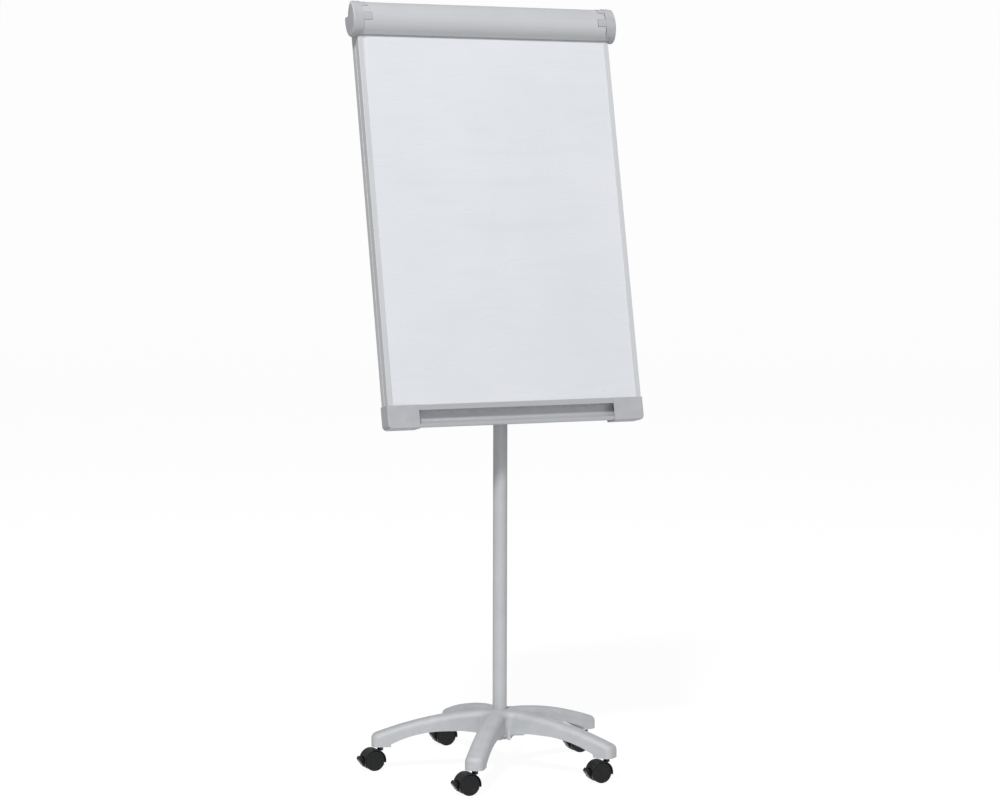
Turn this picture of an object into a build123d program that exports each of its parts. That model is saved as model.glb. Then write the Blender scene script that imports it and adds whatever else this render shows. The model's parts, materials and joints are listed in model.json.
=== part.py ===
from build123d import *
import os
from math import cos, radians, sin, sqrt

# Mobile flipchart easel: a white steel board in an aluminium frame, leaning back on a
# telescopic column over a five-arm base with twin-wheel casters.
# Millimetres, +Z up, the board faces -Y, the origin is on the floor under the column's axis.

os.makedirs("parts", exist_ok=True)

# ------------------------------------------------------------------ driving dimensions
running = 0.05  # radial clearance of a shaft that turns or slides in its bore
side_gap = 0.3  # gap between flat faces that slide past each other

# star base
arm_count = 5
base_turn = -127.8  # degrees, the direction of the first arm
stem_circle_r = 296.0  # caster stems, from the column's axis
arm_width = 46.0
arm_wall = 3.5
arm_rib = 2.5  # rib along the middle of each hollow arm
arm_inner_corner_r = 16.0
arm_end_past_stem = 21.5
arm_end_corner_r = 16.0
arm_edge_r = 15.0
arm_roof = 11.8  # crest to the roof of the arms' hollows
boss_above_wheels = 9.0  # flat underside of the stem bosses, above the wheels' tops
crest_above_boss = 87.0  # highest point of the arms, at the hub
crest_end_above_boss = 36.0  # crest height over the caster stems
arm_under_above_boss = 37.5  # highest point of the arms' lower edge
arm_under_start_r = 98.0  # it is level from here
arm_under_r = 138.0  # to here
arm_under_end_above_boss = 7.0  # lower edge where it meets the stem boss
boss_depth = 46.0  # stem boss, along the arm
hub_r = 37.0
hub_above_boss = 16.0  # hub's underside
hub_chamfer_r = 4.0
hub_chamfer_z = 6.0
hub_flare_r = 57.0  # the hub flares out to here, under the arms
hub_flare_height = 16.0
hub_web = 5.0  # upright webs in the corners between the arms
hub_web_foot_r = 61.0
hub_web_foot_height = 4.0  # above the hub's underside
hub_web_top_r = 46.0
hub_web_top_height = 51.0
hub_floor = 6.0
hub_ring_wall = 8.0

# column
tube_r = 17.5
tube_wall = 2.0
tube_top_z = 915.0
inner_tube_r = 14.0
inner_tube_wall = 1.5
inner_tube_foot_z = 612.0
plug_length = 30.0
bush_length = 45.0
bush_flange = 3.0
slider_length = 12.0
slider_spigot = 20.0
collar_length = 38.0
collar_wall = 5.5
collar_drop = 5.0  # collar's top below the tube's top
boss_r = 10.0
boss_reach = 36.0  # clamp boss, from the column's axis to its end
stud_r = 4.0
knob_r = 23.0
knob_thickness = 18.0
knob_lobes = 6
knob_hollow_r = 9.0  # finger hollows
knob_hollow_out = 5.0  # their centres, outside the knob's rim
knob_neck = 10.0  # clamp boss to the grip of the height knob
knob_blind = 6.0  # left over the end of the stud
knob_edge_r = 2.0
stud_tip_gap = 0.1

# base fastening
bolt_r = 4.0
bolt_head_af = 13.0
bolt_head_height = 5.3
bolt_into_plug = 20.0
bolt_slack = 0.5
bolt_flange_r = 10.0
bolt_flange = 1.6

# tilt head
pivot_z = 1100.0
head_cup_wall = 3.2
head_cup_depth = 38.0
head_cup_roof = 4.0
lug_half_width = 16.0
lug_r = 15.0
friction_washer = 1.4
friction_washer_r = 12.0
tilt_bolt_r = 5.0
tilt_nut_af = 17.0
tilt_nut_height = 8.0
tilt_bolt_past_nut = 2.0
tilt_knob_standoff = 12.0
tilt_knob_r = 24.0
tilt_knob_neck_r = 10.0
bracket_sheet = 2.5
bracket_half_width = 60.0
bracket_height = 116.0
bracket_ear_r = 16.0
bracket_ear_foot = 34.0  # half height of the ears where they leave the plate
bracket_corner_r = 8.0
bracket_screw_inset = 12.0

# board
board_lean = 11.41  # degrees from upright
pivot_up_board = 199.3  # tilt axis above the foot of the writing face
pivot_behind_face = 51.8
face_width = 660.0  # writing face between the side frames
face_height = 912.0  # writing face above the tray's lip
panel_drop = 8.0  # panel below the top of the tray's lip
sheet = 0.6
core = 16.3
panel_edge = 11.4  # panel hidden in each side frame
frame_lip = 13.0
frame_depth = 37.5
frame_wall = 1.6
lip_proud = 1.5
groove_width = 2.4
groove_depth = 0.9
frame_below_face_top = 5.0  # side frames end this far below the face's top
frame_foot = -50.0
tray_lip = 13.0
tray_wall = 2.0
tray_depth = 17.5
tray_scoop_r = 17.0
tray_scoop_top = -28.0
tray_foot = -53.5
cap_length = 66.0  # corner caps' arms, along the tray
cap_outer_wall = 3.0
cap_front_wall = 2.5
cap_rear_wall = 2.5
cap_under_wall = 3.5
cap_corner_r = 12.0
cap_edge_r = 4.0
screw_r = 2.5
screw_head_r = 5.0
screw_head_height = 3.0
screw_depth = 11.0  # screws, into the panel from its back

# top rail, hinge and hooks
rail_inset = 4.0  # rail's ends, inside the face's sides
rail_height = 42.0  # above the face
rail_front = -1.5
rail_wall = 2.0
rail_overlap = 24.0  # rear flange over the panel
rail_screw_inset = 46.0  # outermost screws, from the rail's ends
rail_screw_count = 5
rail_slot_up = 10.0  # slot's lower edge above the face
rail_slot = 6.4
hinge_above_face = 54.0
hinge_behind = 14.0
cheek_thickness = 8.0
cheek_gap = 1.0
cheek_r = 8.5
hinge_pin_r = 3.0
spring_r = 5.6
spring_length = 10.0
hook_at = 140.0  # hooks from the board's middle, at rest
hook_r = 4.0
hook_reach = 11.0
hook_flange_r = 8.0
hook_flange = 2.0
hook_key = 14.0

# clamp bar: part of an oval tube, open at the back
bar_centre_above_face = 30.0
bar_centre_out = -4.5
bar_half_height = 42.0
bar_half_depth = 26.0
bar_wall = 2.0
bar_crease_below_face_top = 2.0
bar_back_above_face = 60.0  # edge of the bar's open back
bar_lip_below_face_top = 9.5
bar_lip_out = 3.0
bar_lip_height = 9.5
bar_lip = 1.6  # thickness of the folded lip that carries the grip strip
bar_past_face = 16.0  # bar's ends, outside the face's sides
grip_gap = 0.4
grip_height = 7.0
grip_inset = 2.0  # the strip stops short of the side frames
collar_proud = 2.3
bar_cap_start_past_face = 2.0
bar_cap_past_bar = 13.0
bar_cap_end_wall = 3.5
bar_cap_edge_r = 3.0
bar_cap_recess = 9.0
cap_clear_of_frame = 1.0
tongue_proud = 0.8
tongue_length = 23.0
tongue_low_above_face = 23.0
tongue_height = 18.0
top_tongue_length = 16.0
top_tongue_above_face = 59.0
recess_above_face = 38.0  # lower edge of the recess in the cap's end
recess_out = 4.0  # its front edge
cap_boss_r = 7.0

# casters
wheel_r = 25.0
wheel_width = 10.5
wheel_corner_r = 2.5
trail = 20.0  # wheel axle behind the stem, towards -X
web_half = 6.5
wheel_gap = 0.5
hood_gap = 1.1  # wheels to the inside of the hood
hood_wall = 2.4
hood_half_width = 18.2
hood_front_angle = -11.0
hood_back_angle = 207.0
lever_window_top = 158.0
stem_r = 4.0
stem_foot_above_axle = 7.0
stem_into_arm = 30.0
stem_collar_r = 7.5
stem_collar_gap = 0.6
grip_ring_r = 5.5
axle_r = 3.0
axle_cover = 1.6  # wheel left over the blind end of the axle's bore
lever_pivot = (-19.0, -11.0)  # from the axle, along X and Z
lever_pin_r = 2.0
lever_half_width = 8.6
lever_arm_half = 4.2
lever_clear = 1.3
lever_tip = (-40.5, 5.5)

# ------------------------------------------------------------------ worked-out places
boss_under_z = 2 * wheel_r + boss_above_wheels
crest_z = boss_under_z + crest_above_boss
crest_end_z = boss_under_z + crest_end_above_boss
arm_under_z = boss_under_z + arm_under_above_boss
arm_under_end_z = boss_under_z + arm_under_end_above_boss
hub_under_z = boss_under_z + hub_above_boss
hub_flare_z = hub_under_z + hub_flare_height
hub_web_foot_z = hub_under_z + hub_web_foot_height
hub_web_top_z = hub_under_z + hub_web_top_height
hub_floor_top = hub_under_z + hub_floor
hood_r = wheel_r + hood_gap + hood_wall
stem_foot_z = wheel_r + stem_foot_above_axle
tube_bore_r = tube_r - tube_wall
arm_end_r = stem_circle_r + arm_end_past_stem
crest_r = ((crest_z - crest_end_z) ** 2 + stem_circle_r**2) / (2 * (crest_z - crest_end_z))
under_run = stem_circle_r - boss_depth / 2 - arm_under_r
under_drop = arm_under_z - arm_under_end_z
under_arc_r = (under_drop**2 + under_run**2) / (2 * under_drop)
clamp_z = tube_top_z - collar_drop - collar_length / 2

lean = radians(board_lean)
up_board = Vector(0, sin(lean), cos(lean))
out_of_board = Vector(0, -cos(lean), sin(lean))
pivot = Vector(0, 0, pivot_z)
board_foot = pivot - up_board * pivot_up_board + out_of_board * pivot_behind_face

panel_back = -(2 * sheet + core)
panel_half = face_width / 2 + panel_edge
frame_outer = face_width / 2 + frame_lip
frame_top = face_height - frame_below_face_top
cap_reach = face_width / 2 - cap_length
rail_half_length = face_width / 2 - rail_inset
rail_top = face_height + rail_height
rail_slot_low = face_height + rail_slot_up
rail_slot_high = rail_slot_low + rail_slot
hinge_up = face_height + hinge_above_face

bar_centre_up = face_height + bar_centre_above_face
bar_crease_up = face_height - bar_crease_below_face_top
bar_back_up = face_height + bar_back_above_face
bar_lip_up = face_height - bar_lip_below_face_top
bar_half_length = face_width / 2 + bar_past_face
grip_end = face_width / 2 - grip_inset
bar_cap_start = face_width / 2 + bar_cap_start_past_face
bar_cap_end = bar_half_length + bar_cap_past_bar
tongue_low = face_height + tongue_low_above_face
tongue_high = tongue_low + tongue_height
top_tongue_low = face_height + top_tongue_above_face
recess_low = face_height + recess_above_face
bar_cap_inner = frame_outer + cap_clear_of_frame
bar_cap_floor = bar_cap_end - bar_cap_recess - bar_cap_end_wall


def across_board(x):
    """Section plane at x: local x runs up the board, local y out of its face."""
    origin = board_foot + Vector(x, 0, 0)
    return Plane(origin=origin, x_dir=up_board, z_dir=(1, 0, 0))


def down_board(up):
    """Section plane at a height up the board: local x across, local y out, extrusions go down."""
    return Plane(origin=board_foot + up_board * up, x_dir=(1, 0, 0), z_dir=up_board * -1)


def on_board(out):
    """Plane parallel to the writing face: local x across, local y up the board."""
    return Plane(origin=board_foot + out_of_board * out, x_dir=(1, 0, 0), z_dir=out_of_board)


def crest_height(r):
    return crest_z - crest_r + sqrt(crest_r**2 - r**2)


def oval_out(up, grow=0.0):
    """How far out of the face the clamp bar's front is at a height up the board."""
    share = (up - bar_centre_up) / (bar_half_height + grow)
    return bar_centre_out + (bar_half_depth + grow) * sqrt(1 - share**2)


def finish(builder, name):
    builder.part.label = name
    export_step(builder.part, f"parts/{name}.step")


# ------------------------------------------------------------------ base


def make_star_base():
    with BuildSketch(Plane.XY.offset(boss_under_z)) as outline:
        with PolarLocations(0, arm_count, start_angle=base_turn):
            Rectangle(arm_end_r, arm_width, align=(Align.MIN, Align.CENTER))
        by_reach = outline.vertices().sort_by_distance((0, 0, boss_under_z))
        fillet(by_reach[:arm_count], arm_inner_corner_r)
        ends = outline.vertices().sort_by_distance((0, 0, boss_under_z))[-2 * arm_count :]
        fillet(ends, arm_end_corner_r)

    boss_inner_r = arm_end_r - boss_depth
    with BuildPart() as star:
        add(outline.sketch)
        extrude(amount=crest_z)
        # the arms' arched crest and arched lower edge are one turned shape
        with BuildSketch(Plane.XZ):
            with BuildLine():
                Polyline(
                    (0, hub_under_z),
                    (hub_r - hub_chamfer_r, hub_under_z),
                    (hub_r, hub_under_z + hub_chamfer_z),
                    (hub_flare_r, hub_flare_z),
                    (arm_under_start_r, arm_under_z),
                    (arm_under_r, arm_under_z),
                )
                middle_r = arm_under_r + under_run / 2
                middle_z = arm_under_z - under_arc_r + sqrt(under_arc_r**2 - (under_run / 2) ** 2)
                ThreePointArc(
                    (arm_under_r, arm_under_z),
                    (middle_r, middle_z),
                    (boss_inner_r, arm_under_end_z),
                )
                Line((boss_inner_r, arm_under_end_z), (boss_inner_r, boss_under_z))
                Line((boss_inner_r, boss_under_z), (arm_end_r + 1, boss_under_z))
                Line((arm_end_r + 1, boss_under_z), (arm_end_r + 1, crest_height(arm_end_r + 1)))
                ThreePointArc(
                    (arm_end_r + 1, crest_height(arm_end_r + 1)),
                    (arm_end_r / 2, crest_height(arm_end_r / 2)),
                    (0, crest_z),
                )
                Line((0, crest_z), (0, hub_under_z))
            make_face()
        revolve(axis=Axis.Z, mode=Mode.INTERSECT)
        fillet(star.edges().filter_by(is_crest_edge), arm_edge_r)

        # hollow underside of each arm, with a rib down its middle
        strip = (arm_width - 2 * arm_wall - arm_rib) / 2
        with BuildSketch(Plane.XY.offset(boss_under_z)) as hollows:
            with PolarLocations(0, arm_count, start_angle=base_turn):
                for side in (-1, 1):
                    with Locations((tube_r + hub_ring_wall, side * (arm_rib + strip) / 2)):
                        reach = boss_inner_r - arm_wall - tube_r - hub_ring_wall
                        Rectangle(reach, strip, align=(Align.MIN, Align.CENTER))
            Circle(tube_r + hub_ring_wall, mode=Mode.SUBTRACT)
    with BuildPart() as cavity:
        add(hollows.sketch)
        extrude(amount=crest_z)
        with BuildSketch(Plane.XZ):
            with BuildLine():
                Line((0, 0), (arm_end_r, 0))
                Line((arm_end_r, 0), (arm_end_r, crest_height(arm_end_r) - arm_roof))
                ThreePointArc(
                    (arm_end_r, crest_height(arm_end_r) - arm_roof),
                    (arm_end_r / 2, crest_height(arm_end_r / 2) - arm_roof),
                    (0, crest_z - arm_roof),
                )
                Line((0, crest_z - arm_roof), (0, 0))
            make_face()
        revolve(axis=Axis.Z, mode=Mode.INTERSECT)
    with BuildPart() as star_base:
        add(star.part)
        add(cavity.part, mode=Mode.SUBTRACT)
        for i in range(arm_count):
            turn = base_turn + 360 / arm_count * (i + 0.5)
            across = Vector(-sin(radians(turn)), cos(radians(turn)), 0)
            outwards = Vector(cos(radians(turn)), sin(radians(turn)), 0)
            with BuildSketch(Plane(origin=(0, 0, 0), x_dir=outwards, z_dir=across * -1)):
                Polygon(
                    (tube_r, hub_web_foot_z),
                    (hub_web_foot_r, hub_web_foot_z),
                    (hub_web_top_r, hub_web_top_z),
                    (tube_r, hub_web_top_z),
                    align=None,
                )
            extrude(amount=hub_web / 2, both=True)
        with BuildSketch(Plane.XY.offset(hub_floor_top)):
            Circle(tube_r)
        extrude(amount=crest_z, mode=Mode.SUBTRACT)
        with BuildSketch(Plane.XY.offset(hub_under_z)):
            Circle(bolt_r + bolt_slack)
        extrude(amount=hub_floor, mode=Mode.SUBTRACT)
        with BuildSketch(Plane.XY.offset(boss_under_z)):
            with PolarLocations(stem_circle_r, arm_count, start_angle=base_turn):
                Circle(grip_ring_r)
        extrude(amount=stem_into_arm + 1, mode=Mode.SUBTRACT)
    finish(star_base, "star_base")


def is_crest_edge(edge):
    """True for the long edges between the arched crest and the arms' walls."""
    middle = edge.position_at(0.5)
    r = sqrt(middle.X**2 + middle.Y**2)
    return abs(middle.Z - crest_height(r)) < 0.5 and abs(edge.tangent_at(0.5).Z) < 0.6


def make_base_fastening():
    with BuildPart() as plug:
        with BuildSketch(Plane.XY.offset(hub_floor_top)):
            Circle(tube_bore_r)
            Circle(bolt_r, mode=Mode.SUBTRACT)
        extrude(amount=plug_length)
    finish(plug, "column_foot_plug")

    with BuildPart() as bolt:
        with BuildSketch(Plane.XY.offset(hub_under_z)):
            Circle(bolt_r)
        extrude(amount=hub_floor + bolt_into_plug)
        with BuildSketch(Plane.XY.offset(hub_under_z)):
            Circle(bolt_flange_r)
        extrude(amount=-bolt_flange)
        with BuildSketch(Plane.XY.offset(hub_under_z - bolt_flange)):
            RegularPolygon(bolt_head_af / 2, 6, major_radius=False)
        extrude(amount=-bolt_head_height)
    finish(bolt, "base_bolt")


# ------------------------------------------------------------------ column


def make_column():
    with BuildPart() as outer_tube:
        with BuildSketch(Plane.XY.offset(hub_floor_top)):
            Circle(tube_r)
            Circle(tube_bore_r, mode=Mode.SUBTRACT)
        extrude(amount=tube_top_z - hub_floor_top)
        with BuildSketch(Plane(origin=(0, 0, clamp_z), x_dir=(1, 0, 0), z_dir=(0, 1, 0))):
            Circle(stud_r)
        extrude(amount=tube_r + 1, mode=Mode.SUBTRACT)
    finish(outer_tube, "column_outer_tube")

    with BuildPart() as bush:
        with BuildSketch(Plane.XY.offset(tube_top_z - bush_length)):
            Circle(tube_bore_r)
        extrude(amount=bush_length)
        with BuildSketch(Plane.XY.offset(tube_top_z)):
            Circle(tube_r + 1)
        extrude(amount=bush_flange)
        chamfer(bush.edges().group_by(Axis.Z)[-1], 0.8)
        with BuildSketch(Plane.XY.offset(tube_top_z - bush_length)):
            Circle(inner_tube_r + running)
        extrude(amount=bush_length + bush_flange, mode=Mode.SUBTRACT)
        with BuildSketch(Plane(origin=(0, 0, clamp_z), x_dir=(1, 0, 0), z_dir=(0, 1, 0))):
            Circle(stud_r)
        extrude(amount=tube_r + 1, mode=Mode.SUBTRACT)
    finish(bush, "column_guide_bush")

    with BuildPart() as collar:
        with BuildSketch(Plane.XY.offset(clamp_z - collar_length / 2)):
            Circle(tube_r + collar_wall)
        extrude(amount=collar_length)
        fillet(collar.edges().filter_by(GeomType.CIRCLE), 2)
        with BuildSketch(Plane(origin=(0, 0, clamp_z), x_dir=(1, 0, 0), z_dir=(0, 1, 0))):
            Circle(boss_r)
        extrude(amount=boss_reach)
        fillet(collar.edges().group_by(Axis.Y)[-1], 1)
        with BuildSketch(Plane.XY.offset(clamp_z - collar_length / 2)):
            Circle(tube_r)
        extrude(amount=collar_length, mode=Mode.SUBTRACT)
        with BuildSketch(Plane(origin=(0, 0, clamp_z), x_dir=(1, 0, 0), z_dir=(0, 1, 0))):
            Circle(stud_r)
        extrude(amount=boss_reach, mode=Mode.SUBTRACT)
    finish(collar, "height_clamp_collar")


def knob_outline(radius):
    """A round knob with finger hollows, drawn in the sketch that calls it."""
    Circle(radius)
    with PolarLocations(radius + knob_hollow_out, knob_lobes):
        Circle(knob_hollow_r, mode=Mode.SUBTRACT)


def make_height_knob():
    stud = stud_r - running
    start = inner_tube_r + stud_tip_gap
    grip_at = boss_reach + knob_neck
    back = Plane(origin=(0, 0, clamp_z), x_dir=(1, 0, 0), z_dir=(0, 1, 0))
    with BuildPart() as knob_stud:
        with BuildSketch(back.offset(start)):
            Circle(stud)
        extrude(amount=grip_at + knob_thickness - knob_blind - start)
    finish(knob_stud, "height_stud")

    with BuildPart() as knob:
        with BuildSketch(back.offset(grip_at)):
            knob_outline(knob_r)
        extrude(amount=knob_thickness)
        rims = knob.edges().filter_by(lambda e: abs(e.tangent_at(0.5).Y) < 0.1)
        fillet(rims, knob_edge_r)
        with BuildSketch(back.offset(boss_reach + 1)):
            Circle(boss_r - 1)
        extrude(amount=grip_at - boss_reach)
        with BuildSketch(back.offset(boss_reach + 1)):
            Circle(stud)
        extrude(amount=knob_neck + knob_thickness - knob_blind - 1, mode=Mode.SUBTRACT)
    finish(knob, "height_knob")


def make_mast():
    head_foot = pivot_z - lug_r - head_cup_roof - head_cup_depth
    with BuildPart() as inner_tube:
        with BuildSketch(Plane.XY.offset(inner_tube_foot_z)):
            Circle(inner_tube_r)
            Circle(inner_tube_r - inner_tube_wall, mode=Mode.SUBTRACT)
        extrude(amount=head_foot + head_cup_depth - inner_tube_foot_z)
    finish(inner_tube, "column_inner_tube")

    with BuildPart() as slider:
        with BuildSketch(Plane.XY.offset(inner_tube_foot_z - slider_length)):
            Circle(tube_bore_r - running)
        extrude(amount=slider_length)
        chamfer(slider.edges().group_by(Axis.Z)[0], 1)
        with BuildSketch(Plane.XY.offset(inner_tube_foot_z)):
            Circle(inner_tube_r - inner_tube_wall)
        extrude(amount=slider_spigot)
    finish(slider, "inner_tube_slider")

    cup_r = inner_tube_r + head_cup_wall
    with BuildPart() as head:
        with BuildSketch(Plane.XY.offset(head_foot)):
            Circle(cup_r)
        extrude(amount=head_cup_depth + head_cup_roof)
        chamfer(head.edges().group_by(Axis.Z)[0], 1.2)
        with BuildSketch(Plane.YZ.offset(-lug_half_width)):
            with Locations((0, pivot_z)):
                Circle(lug_r)
            with Locations((0, pivot_z - lug_r - head_cup_roof)):
                Rectangle(2 * lug_r, lug_r + head_cup_roof, align=(Align.CENTER, Align.MIN))
        extrude(amount=2 * lug_half_width)
        with BuildSketch(Plane.XY.offset(head_foot)):
            Circle(inner_tube_r)
        extrude(amount=head_cup_depth, mode=Mode.SUBTRACT)
        with BuildSketch(Plane.YZ.offset(-lug_half_width)):
            with Locations((0, pivot_z)):
                Circle(tilt_bolt_r + running)
        extrude(amount=2 * lug_half_width, mode=Mode.SUBTRACT)
    finish(head, "tilt_head")

    with BuildPart() as washers:
        for start in (lug_half_width, -lug_half_width - friction_washer):
            with BuildSketch(Plane.YZ.offset(start)):
                with Locations((0, pivot_z)):
                    Circle(friction_washer_r)
                    Circle(tilt_bolt_r + 0.3, mode=Mode.SUBTRACT)
            extrude(amount=friction_washer)
    finish(washers, "tilt_friction_washers")


# ------------------------------------------------------------------ tilt bracket

ear_inner = lug_half_width + friction_washer + 0.1
ear_outer = ear_inner + bracket_sheet
bracket_screw_x = bracket_half_width - bracket_screw_inset
bracket_screw_up = bracket_height / 2 - bracket_screw_inset
bracket_corners = [
    (sx * bracket_screw_x, pivot_up_board + sy * bracket_screw_up) for sx in (-1, 1) for sy in (-1, 1)
]


def make_tilt_bracket():
    with BuildPart() as bracket:
        with BuildSketch(on_board(panel_back)):
            with Locations((0, pivot_up_board)):
                RectangleRounded(2 * bracket_half_width, bracket_height, bracket_corner_r)
            with Locations(bracket_corners):
                Circle(screw_r, mode=Mode.SUBTRACT)
        extrude(amount=-bracket_sheet)
        for start in (ear_inner, -ear_outer):
            with BuildSketch(across_board(start)):
                with BuildLine():
                    Line(
                        (pivot_up_board - bracket_ear_foot, panel_back - bracket_sheet / 2),
                        (pivot_up_board + bracket_ear_foot, panel_back - bracket_sheet / 2),
                    )
                    CenterArc((pivot_up_board, -pivot_behind_face), bracket_ear_r, 0, 360)
                make_hull()
            extrude(amount=bracket_sheet)
        with BuildSketch(across_board(-ear_outer)):
            with Locations((pivot_up_board, -pivot_behind_face)):
                Circle(tilt_bolt_r + running)
        extrude(amount=2 * ear_outer, mode=Mode.SUBTRACT)
        # nut welded to the left ear
        with BuildSketch(Plane.YZ.offset(-ear_outer - tilt_nut_height)):
            with Locations((0, pivot_z)):
                RegularPolygon(tilt_nut_af / 2, 6, major_radius=False)
                Circle(tilt_bolt_r + running, mode=Mode.SUBTRACT)
        extrude(amount=tilt_nut_height)
    finish(bracket, "tilt_bracket")

    grip_at = ear_outer + side_gap + tilt_knob_standoff
    with BuildPart() as bolt:
        with BuildSketch(Plane.YZ.offset(-ear_outer - tilt_nut_height - tilt_bolt_past_nut)):
            with Locations((0, pivot_z)):
                Circle(tilt_bolt_r)
        past_left = ear_outer + tilt_nut_height + tilt_bolt_past_nut
        extrude(amount=past_left + grip_at + knob_thickness - knob_blind)
    finish(bolt, "tilt_bolt")

    with BuildPart() as knob:
        with BuildSketch(Plane(origin=(grip_at, 0, pivot_z), x_dir=(0, 1, 0), z_dir=(1, 0, 0))):
            knob_outline(tilt_knob_r)
        extrude(amount=knob_thickness)
        rims = knob.edges().filter_by(lambda e: abs(e.tangent_at(0.5).X) < 0.1)
        fillet(rims, knob_edge_r)
        with BuildSketch(Plane.YZ.offset(ear_outer + side_gap)):
            with Locations((0, pivot_z)):
                Circle(tilt_knob_neck_r)
        extrude(amount=tilt_knob_standoff)
        with BuildSketch(Plane.YZ.offset(ear_outer + side_gap)):
            with Locations((0, pivot_z)):
                Circle(tilt_bolt_r)
        extrude(amount=tilt_knob_standoff + knob_thickness - knob_blind, mode=Mode.SUBTRACT)
    finish(knob, "tilt_knob")


# ------------------------------------------------------------------ board


def panel_outline():
    """The board's outline, notched at its upper corners for the bar's cheeks."""
    with Locations((0, -panel_drop)):
        Rectangle(2 * panel_half, face_height + panel_drop, align=(Align.CENTER, Align.MIN))
    notch = panel_half - rail_half_length
    for side in (-1, 1):
        with Locations((side * (panel_half + rail_half_length) / 2, frame_top)):
            Rectangle(notch, face_height, align=(Align.CENTER, Align.MIN), mode=Mode.SUBTRACT)


def make_panel_skin(name, out, holes):
    """One steel sheet of the board, with its front at a distance out of the writing face."""
    with BuildPart() as layer:
        with BuildSketch(on_board(out)):
            panel_outline()
            if holes:
                with Locations(holes):
                    Circle(screw_r, mode=Mode.SUBTRACT)
        extrude(amount=-sheet)
    finish(layer, name)


rail_screw_reach = rail_half_length - rail_screw_inset
rail_screw_spots = [
    (rail_screw_reach * (2 * i / (rail_screw_count - 1) - 1), face_height - rail_overlap / 2)
    for i in range(rail_screw_count)
]


def make_board():
    fastened = bracket_corners + rail_screw_spots
    make_panel_skin("writing_sheet", 0, [])
    with BuildPart() as core_panel:
        with BuildSketch(on_board(-sheet)):
            panel_outline()
        extrude(amount=-core)
        with BuildSketch(on_board(panel_back + sheet)):
            with Locations(fastened):
                Circle(screw_r)
        extrude(amount=screw_depth - sheet, mode=Mode.SUBTRACT)
    finish(core_panel, "core_panel")
    make_panel_skin("rear_sheet", panel_back + sheet, fastened)


def make_board_screws():
    """Pan-head screws through the tilt bracket and the top rail's flange into the core."""
    seats = [
        (bracket_corners, panel_back - bracket_sheet),
        (rail_screw_spots, panel_back - rail_wall),
    ]
    with BuildPart() as screws:
        for spots, seat in seats:
            with BuildSketch(on_board(seat)):
                with Locations(spots):
                    Circle(screw_r)
            extrude(amount=screw_depth + panel_back - seat)
            with BuildSketch(on_board(seat)):
                with Locations(spots):
                    Circle(screw_head_r)
            extrude(amount=-screw_head_height)
    finish(screws, "board_screws")


def make_side_frame(side, name):
    """Extruded side frame: a lip over the face, a flange behind the panel, a deep outer wall."""
    x_out = side * frame_outer

    def strip(width, low, high):
        with Locations((x_out, low)):
            align_x = Align.MAX if side > 0 else Align.MIN
            Rectangle(width, high - low, align=(align_x, Align.MIN))

    with BuildPart() as frame:
        with BuildSketch(down_board(frame_top)) as section:
            strip(frame_wall, -frame_depth + lip_proud, lip_proud)
            strip(frame_lip, 0, lip_proud)
            strip(frame_lip, panel_back - frame_wall, panel_back)
            strip(frame_lip + 1, -frame_depth + lip_proud, -frame_depth + lip_proud + frame_wall)
            with Locations((x_out, panel_back - frame_wall / 2)):
                Rectangle(2 * groove_depth, groove_width, mode=Mode.SUBTRACT)
            shoulder = section.vertices().filter_by(
                lambda v: abs(v.X - x_out) < 0.01 and abs(v.Y - lip_proud) < 0.01
            )
            fillet(shoulder, 1.0)
        extrude(amount=frame_top - frame_foot)
    finish(frame, name)


def make_pen_tray():
    back = -tray_depth
    rear = back - tray_wall
    scoop = (tray_scoop_top, back + tray_scoop_r)
    half = sqrt(0.5)
    with BuildPart() as tray:
        with BuildSketch(across_board(-face_width / 2 + 1)):
            with BuildLine():
                Polyline(
                    (0, 0),
                    (0, lip_proud),
                    (-tray_lip, lip_proud),
                    (-tray_lip, back),
                    (tray_scoop_top, back),
                )
                ThreePointArc(
                    (tray_scoop_top, back),
                    (scoop[0] - tray_scoop_r * half, scoop[1] - tray_scoop_r * half),
                    (scoop[0] - tray_scoop_r, scoop[1]),
                )
                ThreePointArc(
                    (scoop[0] - tray_scoop_r, scoop[1]),
                    (scoop[0] - tray_scoop_r - 0.6, lip_proud - 0.7),
                    (scoop[0] - tray_scoop_r - 2, lip_proud),
                )
                Polyline(
                    (scoop[0] - tray_scoop_r - 2, lip_proud),
                    (tray_foot, lip_proud),
                    (tray_foot, rear),
                    (4, rear),
                    (4, panel_back),
                    (-panel_drop, panel_back),
                    (-panel_drop, 0),
                    (0, 0),
                )
            make_face()
            # closed chamber behind the scoop
            with BuildLine():
                low = tray_foot + tray_wall
                Polyline(
                    (low, back),
                    (scoop[0] - tray_scoop_r * half - 4, back),
                    (scoop[0] - tray_scoop_r * half - 4, back + 1.5),
                    (low, -6),
                    (low, back),
                )
            make_face(mode=Mode.SUBTRACT)
        extrude(amount=face_width - 2)
    finish(tray, "pen_tray")


def edge_spot(edge):
    """Middle of an edge: across the board, up the board, out of its face."""
    spot = edge.position_at(0.5) - board_foot
    return Vector(spot.X, spot.dot(up_board), spot.dot(out_of_board))


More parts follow.
